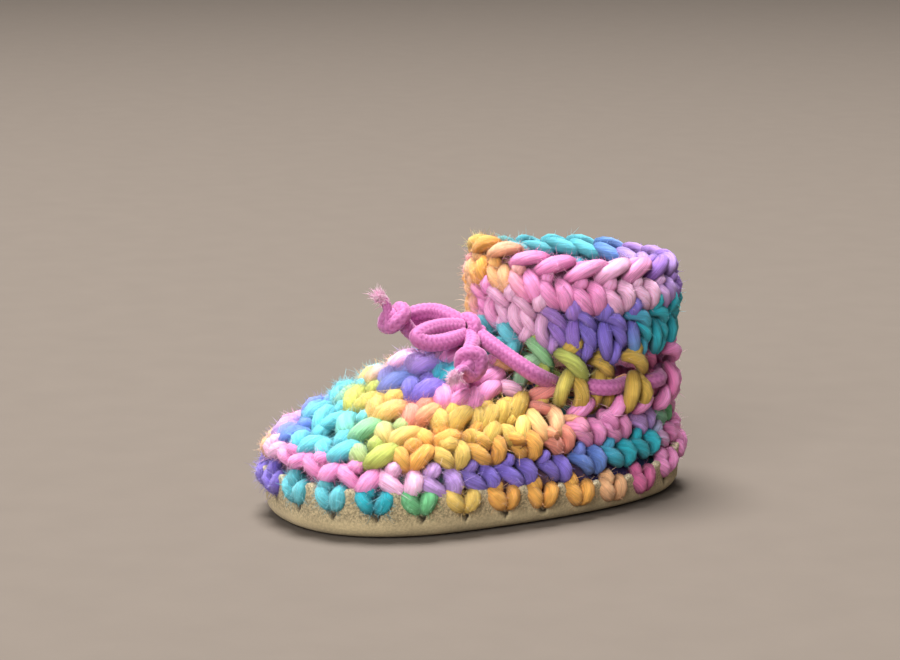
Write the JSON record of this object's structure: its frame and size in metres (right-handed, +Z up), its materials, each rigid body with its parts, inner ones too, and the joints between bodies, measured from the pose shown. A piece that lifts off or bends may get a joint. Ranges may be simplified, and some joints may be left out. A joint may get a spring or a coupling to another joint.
{
  "type": "baby slipper",
  "caption": "Crocheted wool baby slipper with a turned-up suede sole, a round ankle cuff and a knitted drawstring tied in a bow.",
  "frame": {"origin": "on the floor, under the middle of the slipper measured without the bow", "axes": "+Z up; the toe points along -Y; +X is the wearer's left"},
  "size_m": [0.0628, 0.1143, 0.0661],
  "materials": {
    "suede": "napped tan suede with a soft grain, matt",
    "felt": "soft cream felt",
    "wool": "thick soft roving yarn, space-dyed in pastel pink, peach, yellow, green, teal and lilac",
    "cord": "finely knitted mauve-pink cord"
  },
  "bodies": {
    "root": {"sole": "suede", "insole": "felt", "upper": "wool", "drawstring_ring": "cord", "bow_knot": "cord", "bow_loop_near": "cord", "bow_loop_far": "cord", "bow_end_far": "cord", "bow_end_near": "cord"}
  },
  "joints": []
}
